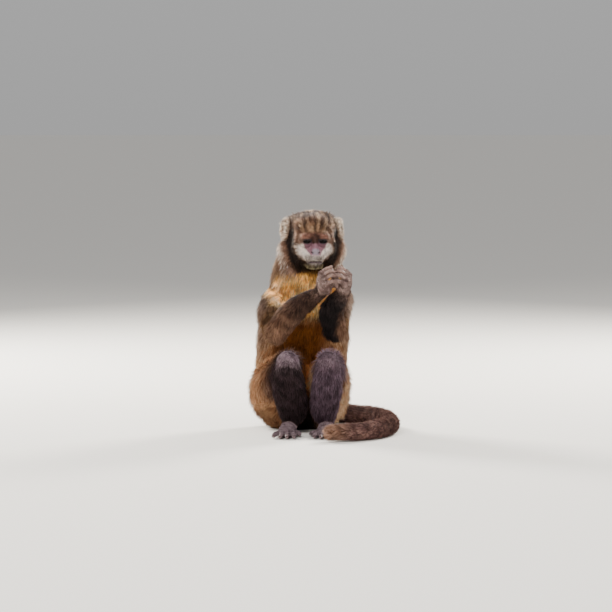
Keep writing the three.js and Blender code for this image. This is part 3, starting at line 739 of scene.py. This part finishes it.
# Painted rim light: a pale fringe at the outermost edge of the ruff round the face
mark(outside * smooth_step(37.5, 40.5, from_middle) * smooth_step(16, 8, hy), "#7c6052", "#efdccb")
mark(outside * smooth_step(14, 24, hy), "#4d382b", "#977a64")
mark(horn, "#2f201a", "#5c4438")
dark_lock = h * (bell(hx + 28, 6) * smooth_step(12, 20, hz) + bell(hx - 19, 6) * smooth_step(8, 16, hz)) * smooth_step(20, 0, hy)
mark(dark_lock * 0.75, "#2c1e18", "#58402f")
mark(chin, "#6f6249", "#cabf98")
mark(chin * smooth_step(-0.3, 0.4, ripple(skin_points, 4, 44)), "#241b16", "#42362b")
mark(ear, "#7f6655", "#e3cfbb")
# Painted rim light: paler hair on the outward-facing side of each ear
mark(ear * smooth_step(0.2, 0.8, facing @ HEAD_AXES[0] * np.sign(hx)) * 0.8, "#a08876", "#f8ecda")

# Markings of bare skin, with painted shade under the brow and in the folds, mouth and nostrils
bare_colour = np.tile(linear("#5e4546"), (len(skin_points), 1))
paint(bare_colour, h, "#6c4c55")
# Painted shade: bare skin above the eye line darkened under the brow
paint(bare_colour, h * smooth_step(-1.5, 1.0, hz), "#241617")
paint(bare_colour, h * smooth_step(-6, -1, hz) * smooth_step(8, 4, abs(hx)), "#4a3236")
paint(bare_colour, h * smooth_step(-40, -45, hy) * smooth_step(-22, -18, hz) * smooth_step(-9, -13, hz) * smooth_step(6.5, 4, abs(hx)), "#70656e")
paint(bare_colour, h * lips, "#54464a")
# Painted shade: darker skin along the two folds under each eye
under_eye_crease_shade = bell(hz + 5.2 - 0.03 * (abs(hx) - 12.5) ** 2, 1.0) + 0.7 * bell(hz + 8.6 - 0.03 * (abs(hx) - 12.5) ** 2, 1.0)
paint(bare_colour, h * under_eye_crease_shade * bell(abs(hx) - 12.5, 6) * 0.8 * smooth_step(-28, -32, hy), "#3c2832")
# Painted shade: a dark line in the groove where the lips meet
paint(bare_colour, h * bell(hz + 30.2 + 0.012 * hx**2, 0.8) * smooth_step(14, 11, abs(hx)), "#1d1314")
eye_rim = np.zeros(len(skin_points))
for side in (1, -1):
    eye_rim = np.maximum(eye_rim, smooth_step(6.4, 4.6, np.hypot((hx - side * EYE_SIDE) / 1.35, (hz + 0.7) / 0.62)))
# Painted shadow: a near-black band of skin over the eyes, cast by the brow
paint(bare_colour, h * smooth_step(-0.6, 0.8, hz) * smooth_step(4.5, 2.5, hz) * smooth_step(21, 18, abs(hx)) * smooth_step(-27, -31, hy) * 0.9, "#120a0b")
paint(bare_colour, h * eye_rim * smooth_step(-32, -35, hy), "#120b0c")
# Painted shade: the nostril openings laid almost black
nostril = np.maximum(*[bell(np.hypot((hx - side * 5.3) * 0.8 * side + (hz + 16.6) * 0.6, ((hz + 16.6) * 0.8 - (hx - side * 5.3) * 0.6 * side) * 2.2), 2.2)
                       for side in (1, -1)])
paint(bare_colour, h * nostril * smooth_step(-40, -43, hy), "#120a0c")
paint(bare_colour, h * ear_inside, "#6a4b45")
paint(bare_colour, both("hand"), "#86695f")
paint(bare_colour, both("hand") * finger, "#8d7268")
paint(bare_colour, both("foot"), "#7d6a6c")
paint(bare_colour, (both("hand") + both("foot")) * smooth_step(0.0, 0.8, ripple(skin_points, 5, 31)) * 0.5, "#4a3836")
under = middle * 0.7
skin_colour = under + (bare_colour - under) * np.clip(bare + finger * 0.9, 0, 1)[:, None]


def add_colour(piece, name, rows):
    """A colour for each vertex, kept in the mesh under a name."""
    layer = piece.data.color_attributes.new(name, "FLOAT_COLOR", "POINT")
    layer.data.foreach_set("color", np.hstack([rows, np.ones((len(rows), 1))]).astype(np.float32).ravel())


def add_value(piece, name, values):
    """A number for each vertex, kept in the mesh under a name."""
    piece.data.attributes.new(name, "FLOAT", "POINT").data.foreach_set("value", np.asarray(values, np.float32))


def add_map(piece, name, rows):
    """A UV for each face corner."""
    piece.data.uv_layers.new(name=name).data.foreach_set("uv", np.asarray(rows, np.float32).ravel())


def material(name, **settings):
    """A material whose shader has the settings given."""
    made = bpy.data.materials.new(name)
    made.use_nodes = True
    shader = made.node_tree.nodes["Principled BSDF"]
    for key, value in settings.items():
        shader.inputs[key.replace("_", " ")].default_value = value
    return made


def node(owner, kind, links=(), **settings):
    """Adds a node, sets its fields or sockets, and links sockets of other nodes into it."""
    made = owner.node_tree.nodes.new(kind)
    for key, value in settings.items():
        if hasattr(made, key):
            setattr(made, key, value)
        else:
            made.inputs[key.replace("_", " ")].default_value = value
    for target, (source, socket) in dict(links).items():
        owner.node_tree.links.new(source.outputs[socket], made.inputs[target])
    return made


def link(owner, source, socket, target, entry):
    """Joins two sockets."""
    owner.node_tree.links.new(source.outputs[socket], target.inputs[entry])


# Skin: leathery and faintly oily on the face, the colour of the hair roots under the coat
skin_finish = material("capuchin_skin", Roughness=0.5)
shader = skin_finish.node_tree.nodes["Principled BSDF"]
shader.inputs["Specular IOR Level"].default_value = 0.2
place = node(skin_finish, "ShaderNodeTexCoord")
tone = node(skin_finish, "ShaderNodeAttribute", attribute_name="skin_colour")
mottle = node(skin_finish, "ShaderNodeTexNoise", {"Vector": (place, "Object")}, Scale=260.0, Detail=4.0)
spread = node(skin_finish, "ShaderNodeMapRange", {"Value": (mottle, "Fac")}, **{"To_Min": 0.72, "To_Max": 1.3})
coloured = node(skin_finish, "ShaderNodeVectorMath", {0: (tone, "Color"), "Scale": (spread, "Result")}, operation="SCALE")
link(skin_finish, coloured, "Vector", shader, "Base Color")
grain = node(skin_finish, "ShaderNodeTexVoronoi", {"Vector": (place, "Object")}, Scale=1100.0)
bump = node(skin_finish, "ShaderNodeBump", {"Height": (grain, "Distance")}, Strength=0.35, Distance=0.0004)
fold = node(skin_finish, "ShaderNodeBump", {"Height": (mottle, "Fac"), "Normal": (bump, "Normal")}, Strength=0.5, Distance=0.0008)
link(skin_finish, fold, "Normal", shader, "Normal")

# Hair: each tuft is a lock of smooth hairs, dark at its root and lighter at its tip; the darker root is partly painted
# shade deep in the coat
coat_finish = material("capuchin_hair", Roughness=0.7)
shader = coat_finish.node_tree.nodes["Principled BSDF"]
shader.inputs["Specular IOR Level"].default_value = 0.1
tone = node(coat_finish, "ShaderNodeAttribute", attribute_name="hair_colour")
link(coat_finish, tone, "Color", shader, "Base Color")

skin = mesh_object("skin", skin_points, skin_quads)
skin.data.materials.append(skin_finish)
add_colour(skin, "skin_colour", skin_colour)


charts = {}
cell_names = [n for n in NAMES]
for index, name in enumerate(cell_names):
    column, row = index % 4, index // 4
    charts[name] = np.array([column / 4.0, row / 4.0, 0.25, 0.25])


def chart_uv(name, points):
    """Angle round a part and distance along it, 0 to 1 each, for any points."""
    if name == "head":
        rows = (points - in_head(0, -4, -6)) @ HEAD_AXES.T
        turn = np.arctan2(rows[:, 0], -rows[:, 1]) / (2 * math.pi) + 0.5
        height = np.arctan2(rows[:, 2], np.hypot(rows[:, 0], rows[:, 1])) / math.pi + 0.5
        return np.stack([turn, height], 1)
    form = PARTS[name]
    if name.startswith(("hand", "foot")):
        side = name[5:]
        axes, origin = (HAND_AXES[side], WRIST[side]) if name.startswith("hand") else (FOOT_AXES[side], HEEL[side])
        rows = (points - origin) @ axes.T
        turn = np.arctan2(rows[:, 0], rows[:, 1]) / (2 * math.pi) + 0.5
        return np.stack([turn, np.clip((rows[:, 2] + 12) / 105.0, 0, 1)], 1)
    middles, runs = lines_of(form)
    near = np.zeros(len(points), int)
    for start in range(0, len(points), 20000):
        rows = points[start : start + 20000]
        near[start : start + 20000] = ((rows[:, None] - middles[None]) ** 2).sum(2).argmin(1)
    away = points - middles[near]
    axes = form[1][near]
    turn = np.arctan2((away * axes[:, 0]).sum(1), (away * axes[:, 1]).sum(1)) / (2 * math.pi) + 0.5
    steps = np.linalg.norm(np.diff(middles, axis=0), axis=1)
    run = np.concatenate([[0], np.cumsum(steps)])
    place_along = (run[near] + (away * runs[near]).sum(1) + 20) / (run[-1] + 40)
    return np.stack([turn, np.clip(place_along, 0, 1)], 1)


quad_part = share[skin_quads].sum(1).argmax(1)
quad_uv = np.zeros((len(skin_quads), 4, 2))
for index, name in enumerate(NAMES):
    rows = np.nonzero(quad_part == index)[0]
    if len(rows) == 0:
        continue
    used, back = np.unique(skin_quads[rows], return_inverse=True)
    uv = chart_uv(name, skin_points[used])[back.reshape(-1, 4)]
    wraps = (uv[:, :, 0].max(1) - uv[:, :, 0].min(1)) > 0.5
    uv[:, :, 0] += wraps[:, None] & (uv[:, :, 0] < 0.5)
    left, low, wide, high = charts[name]
    quad_uv[rows] = np.stack([left + 0.006 + uv[:, :, 0] * (wide - 0.02) / 1.04, low + 0.006 + uv[:, :, 1] * (high - 0.012)], 2)
add_map(skin, "OFBake", quad_uv)


# ---------------------------------------------------------------------------------------------------------------
# The coat
# ---------------------------------------------------------------------------------------------------------------

quad_area = np.linalg.norm(quad_cross, axis=1) / 2
vertex_density = 1.15 / hair_width**2 * (1 - bare) * (1 - finger)
for side in (1, -1):
    opening = np.hypot((hx - side * EYE_SIDE) / 8.4, hz / 4.0)
    vertex_density *= 1 - part["head"] * smooth_step(1.15, 0.95, opening) * smooth_step(-20, -28, hy)
vertex_density[pz < 0.8] = 0
quad_density = vertex_density[skin_quads].mean(1)
quad_name = np.array(NAMES)[quad_part]
quad_facing = unit(quad_cross)
quad_middle = corners.mean(1)
quad_head = (quad_middle - HEAD_ORIGIN) @ HEAD_AXES.T
on_head = quad_name == "head"
quad_length = hair_length[skin_quads].mean(1)
on_face = on_head & (quad_length < 11) & (quad_head[:, 1] < -4)
on_trunk = quad_name == "trunk"
ends = lambda word, side: np.isin(quad_name, [w + "_" + side for w in word.split()])
COATS = {
    "coat_face": (on_face, 1), "coat_head": (on_head & ~on_face, 2),
    "coat_front": (on_trunk & (quad_facing[:, 1] < 0), 1), "coat_back": (on_trunk & (quad_facing[:, 1] >= 0), 1),
    "coat_arm_left": (ends("upper_arm forearm hand", "left"), 1), "coat_arm_right": (ends("upper_arm forearm hand", "right"), 1),
    "coat_leg_left": (ends("thigh shin foot", "left"), 1), "coat_leg_right": (ends("thigh shin foot", "right"), 1),
    "coat_tail": (quad_name == "tail", 1),
}
TRIANGLE_LIMIT = 163000


def roots(chosen, count, random):
    """Places spread evenly by area and density over the chosen quads: the quads' numbers and two shares across each."""
    numbers = np.nonzero(chosen)[0]
    total = np.cumsum(quad_area[numbers] * quad_density[numbers])
    picks = (np.arange(count) + random.uniform(0, 1, count)) / count * total[-1]
    return numbers[np.minimum(np.searchsorted(total, picks), len(numbers) - 1)], random.uniform(0, 1, (count, 2))


def carried(values, quads, shares):
    """A skin value at the roots: each quad's four corner values weighted by the shares across it."""
    u, v = shares[:, :1], shares[:, 1:]
    rows = np.asarray(values, float)
    rows = rows if rows.ndim == 2 else rows[:, None]
    a, b, c, d = [rows[skin_quads[quads, i]] for i in range(4)]
    made = a * (1 - u) * (1 - v) + b * u * (1 - v) + c * u * v + d * (1 - u) * v
    return made if np.ndim(values) == 2 else made[:, 0]


def tufts(name, chosen, rings, random):
    """
    A piece of the coat. Each tuft is a spindle: a root under the skin, one or two three-cornered rings and a tip. Its
    middle line leaves the skin, then turns to the lie of the hair, and its tip leans to the mean tip of its clump.
    """
    per_tuft = 6 * rings
    wanted = int((quad_area[chosen] * quad_density[chosen]).sum())
    count = min(wanted, TRIANGLE_LIMIT // per_tuft)
    quads, shares = roots(chosen, count, random)
    root = carried(skin_points, quads, shares)
    normal = unit(carried(facing, quads, shares))
    length = carried(hair_length, quads, shares) * random.uniform(0.7, 1.2, count)
    rise = np.clip(carried(hair_rise, quads, shares) * random.uniform(0.65, 1.3, count), 0.1, 0.9)
    width = carried(hair_width, quads, shares) * random.uniform(0.75, 1.2, count) * (wanted / count) ** 0.25
    run = unit(carried(lie, quads, shares))
    run = run + random.normal(size=(count, 3)) * (0.13 + 0.3 * carried(ear, quads, shares))[:, None] + 0.22 * np.stack([ripple(root, 26, s) for s in (1, 2, 3)], 1)
    run = unit(run - (run * normal).sum(1, keepdims=True) * normal)
    across = np.cross(run, normal)
    # clumps
    cell = np.floor(root / 5.0 + 0.5 * np.stack([ripple(root, 17, s) for s in (4, 5, 6)], 1)
                    + random.uniform(-0.25, 0.25, (count, 3))).astype(np.int64)
    key = (cell[:, 0] * 73856093) ^ (cell[:, 1] * 19349663) ^ (cell[:, 2] * 83492791)
    _, clump = np.unique(key, return_inverse=True)
    tip_place = root + (length * np.sqrt(1 - rise**2))[:, None] * run + (length * rise)[:, None] * normal
    members = np.bincount(clump)
    gathered = np.stack([np.bincount(clump, tip_place[:, i]) / members for i in range(3)], 1)[clump]
    pull = np.clip(0.42 + 0.2 * ripple(root, 30, 7), 0.1, 0.7)[:, None] * (gathered - tip_place)
    pull *= np.minimum(1, 0.45 * length / np.maximum(np.linalg.norm(pull, axis=1), 1e-6))[:, None]
    steps = [0.0, 0.42, 1.0] if rings == 1 else [0.0, 0.3, 0.68, 1.0]
    bow = random.normal(scale=0.05, size=count)
    rows = []
    for t in steps:
        rows.append(root + (length * np.sqrt(1 - rise**2) * t)[:, None] * run
                    + (length * rise * (1.75 * t - 0.75 * t * t) - (0.8 if t == 0 else 0.0))[:, None] * normal
                    + (length * bow * math.sin(math.pi * t))[:, None] * across + pull * t * t)
    line = np.stack(rows, 1)
    points = [line[:, :1]]
    for i in range(1, len(steps) - 1):
        half = (width * (1.0 if i == 1 else 0.72) * 0.5)[:, None]
        points.append(np.stack([line[:, i] + across * half, line[:, i] - across * half, line[:, i] + normal * half * 0.8], 1))
    points = np.concatenate([*points, line[:, -1:]], 1)
    points[..., 2] = np.maximum(points[..., 2], 0.35)
    spokes = [(0, 2, 1), (0, 3, 2), (0, 1, 3)]
    walls = []
    for r in range(rings - 1):
        a = 1 + 3 * r
        for i, j in ((0, 1), (1, 2), (2, 0)):
            walls += [(a + i, a + j, a + j + 3), (a + i, a + j + 3, a + i + 3)]
    last, end = 1 + 3 * (rings - 1), 1 + 3 * rings
    caps = [(last, last + 1, end), (last + 1, last + 2, end), (last + 2, last, end)]
    pattern = np.array(spokes + walls + caps)
    size = points.shape[1]
    faces = (pattern[None] + (np.arange(count) * size)[:, None, None]).reshape(-1, 3)
    base, far = carried(middle, quads, shares), carried(tip, quads, shares)
    brindle = np.clip(1 + 0.35 * ripple(root, 9, 8) + random.normal(scale=0.28, size=count), 0.35, 1.9)[:, None]
    far = base + (far - base) * np.clip(0.75 + 0.5 * ripple(root, 12, 9) + random.normal(scale=0.35, size=count), 0, 1.4)[:, None]
    base, far = base * brindle, np.clip(far * brindle**0.6, 0, 0.95)
    # Painted shade in part: each tuft's root is laid at half its middle colour
    shade = [base * 0.5] + [base * 0.9] * 3 + ([base * 0.45 + far * 0.55] * 3 if rings == 2 else []) + [far]
    piece = mesh_object(name, points.reshape(-1, 3), faces)
    piece.data.materials.append(coat_finish)
    add_colour(piece, "hair_colour", np.stack(shade, 1).reshape(-1, 3))
    uv = quad_uv[quads]
    u, v = shares[:, :1], shares[:, 1:]
    uv = uv[:, 0] * (1 - u) * (1 - v) + uv[:, 1] * u * (1 - v) + uv[:, 2] * u * v + uv[:, 3] * (1 - u) * v
    patch = {1: [(-1, 0), (-0.2, -1), (-0.2, 1), (-0.2, 0), (1, 0)],
             2: [(-1, 0), (-0.4, -1), (-0.4, 1), (-0.4, 0), (0.4, -1), (0.4, 1), (0.4, 0), (1, 0)]}[rings]
    spots = uv[:, None] + np.array(patch)[None] * 0.0015
    add_map(piece, "OFBake", spots.reshape(-1, 2)[faces.ravel()])
    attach(piece, "root")
    print(name, "wanted", wanted, "tufts", count, "triangles", len(faces))
    return piece


for index, (name, (chosen, rings)) in enumerate(COATS.items()):
    piece = tufts(name, chosen, rings, np.random.default_rng(RANDOM_SEED + index))

FLESH = [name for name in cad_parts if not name.startswith("eye")]
print("skin", len(skin_points), len(skin_quads), "triangles", 2 * len(skin_quads))
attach(skin, "root")
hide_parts(*FLESH)

# Eyes: a dark brown iris almost fills the opening, under a clear wet surface
eye_finish = material("wet_eye", Roughness=0.09)
shader = eye_finish.node_tree.nodes["Principled BSDF"]
shader.inputs["Specular IOR Level"].default_value = 0.08
tone = node(eye_finish, "ShaderNodeAttribute", attribute_name="eye_colour")
link(eye_finish, tone, "Color", shader, "Base Color")
for side, name in ((1, "left"), (-1, "right")):
    gaze = unit(np.array([side * 0.1, -1.0, -0.04]) @ HEAD_AXES)
    axes = frame_rows(gaze, [0, 0, 1])
    tilt, spin = np.meshgrid(np.linspace(0.0, math.pi, 41), np.linspace(0, 2 * math.pi, 48, endpoint=False), indexing="ij")
    radius = EYE_RADIUS + 0.55 * smooth_step(0.62, 0.1, tilt)
    rows = np.stack([np.sin(tilt) * np.cos(spin), np.sin(tilt) * np.sin(spin), np.cos(tilt)], -1) * radius[..., None]
    rows = rows.reshape(-1, 3) @ axes + in_head(side * EYE_SIDE, EYE_DEPTH, 0)
    i, j = np.meshgrid(np.arange(1, 39), np.arange(48), indexing="ij")
    a, b = i * 48 + j, i * 48 + (j + 1) % 48
    quads = np.stack([a, a + 48, b + 48, b], -1).reshape(-1, 4)
    j = np.arange(48)
    fan = lambda pole, ring, flip: np.stack([np.full(48, pole), *( (ring * 48 + j, ring * 48 + (j + 1) % 48) if not flip else (ring * 48 + (j + 1) % 48, ring * 48 + j))], 1)
    triangles = np.concatenate([quads[:, [0, 1, 2]], quads[:, [0, 2, 3]], fan(0, 1, False), fan(40 * 48, 39, True)])
    colour = np.tile(linear("#1a100d"), (len(rows), 1))
    t = tilt.ravel()
    paint(colour, smooth_step(0.66, 0.6, t), "#0c0705")
    paint(colour, smooth_step(0.58, 0.5, t), "#0b0504")
    paint(colour, smooth_step(0.24, 0.2, t), "#030202")
    used = np.unique(triangles)
    renumber = np.zeros(len(rows), int)
    renumber[used] = np.arange(len(used))
    eye = mesh_object("eyeball_" + name, rows[used], renumber[triangles])
    eye.data.materials.append(eye_finish)
    add_colour(eye, "eye_colour", colour[used])
    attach(eye, "root")
    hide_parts("eye_" + name)

# Nails: short curved plates on the fingers and toes
nail_finish = material("dark_horn", Roughness=0.7)
nail_finish.node_tree.nodes["Principled BSDF"].inputs["Base Color"].default_value = (*linear("#3a2e2c"), 1)
nail_finish.node_tree.nodes["Principled BSDF"].inputs["Specular IOR Level"].default_value = 0.12
nail_points, nail_faces = [], []
tilt, spin = np.meshgrid(np.linspace(0.0, math.pi, 9), np.linspace(0, 2 * math.pi, 12, endpoint=False), indexing="ij")
ball = np.stack([np.sin(tilt) * np.cos(spin), np.sin(tilt) * np.sin(spin), np.cos(tilt)], -1).reshape(-1, 3)
i, j = np.meshgrid(np.arange(8), np.arange(12), indexing="ij")
a, b = i * 12 + j, i * 12 + (j + 1) % 12
ball_faces = np.concatenate([np.stack([a, a + 12, b + 12], -1).reshape(-1, 3)[:84], np.stack([a, b + 12, b], -1).reshape(-1, 3)[12:]])
for number, (place_, direction, back, r) in enumerate(nails):
    axes = frame_rows(direction, np.cross(back, direction))
    middle_ = place_ - direction * 0.6 + unit(back) * r * 0.62
    rows = ball * [r * 0.72, r * 0.42, r * 1.15]
    nail_points.append(rows @ np.array([np.cross(unit(back), direction), unit(back), direction]) + middle_)
    nail_faces.append(ball_faces + number * len(ball))
nail = mesh_object("nails", np.concatenate(nail_points), np.concatenate(nail_faces))
nail.data.materials.append(nail_finish)
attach(nail, "root")

# ---- camera, floor and lights ----
TARGET = np.array([4.6, -52.0, 192.8]) * 0.001
DISTANCE = 4.0
ELEVATION = math.radians(4)
camera_data = bpy.data.cameras.new("camera")
camera_data.sensor_width = 36
camera_data.lens = 36 * DISTANCE / (612 * 0.00153)
camera = bpy.data.objects.new("camera", camera_data)
camera.location = TARGET + DISTANCE * np.array([0, -math.cos(ELEVATION), math.sin(ELEVATION)])
camera.rotation_euler = (math.pi / 2 - ELEVATION, 0, 0)
bpy.context.scene.collection.objects.link(camera)
bpy.context.scene.camera = camera

bpy.ops.mesh.primitive_plane_add(size=200, location=(0, 0, 0))
floor = bpy.context.object
floor.name = "floor"
floor_finish = material("pale_studio_floor", Roughness=0.9)
floor_finish.node_tree.nodes["Principled BSDF"].inputs["Base Color"].default_value = (*linear("#d0cdc8"), 1)
floor.data.materials.append(floor_finish)


def area_light(name, place, aim, size, power, colour):
    """A square soft light that faces a point."""
    data = bpy.data.lights.new(name, "AREA")
    data.size, data.energy, data.color = size, power, colour
    light = bpy.data.objects.new(name, data)
    light.location = place
    z = unit(np.array(place, float) - np.array(aim, float))
    x = unit(np.cross([0, 0, 1], z))
    y = np.cross(z, x)
    light.matrix_world = Matrix([[x[0], y[0], z[0], place[0]], [x[1], y[1], z[1], place[1]],
                                 [x[2], y[2], z[2], place[2]], [0, 0, 0, 1]])
    bpy.context.scene.collection.objects.link(light)


area_light("key", (-0.6, -1.9, 1.9), (0, 0, 0.2), 1.1, 78, (1, 0.97, 0.92))
area_light("fill", (1.5, -1.6, 0.8), (0, 0, 0.2), 1.4, 26, (1, 0.97, 0.94))
area_light("rim_left", (-1.3, 1.3, 1.1), (0, 0, 0.2), 0.6, 150, (1, 0.96, 0.88))
area_light("rim_right", (1.3, 1.4, 1.2), (0, 0, 0.2), 0.6, 130, (1, 0.96, 0.88))
world = bpy.data.worlds.new("studio")
world.use_nodes = True
background = world.node_tree.nodes["Background"]
direction = node(world, "ShaderNodeTexCoord")
height = node(world, "ShaderNodeSeparateXYZ", {"Vector": (direction, "Generated")})
glow = node(world, "ShaderNodeMapRange", {"Value": (height, "Z")}, **{"From_Max": 0.5, "To_Min": 0.47, "To_Max": 0.76})
link(world, glow, "Result", background, "Color")
world.node_tree.nodes["Background"].inputs["Strength"].default_value = 0.9
bpy.context.scene.world = world
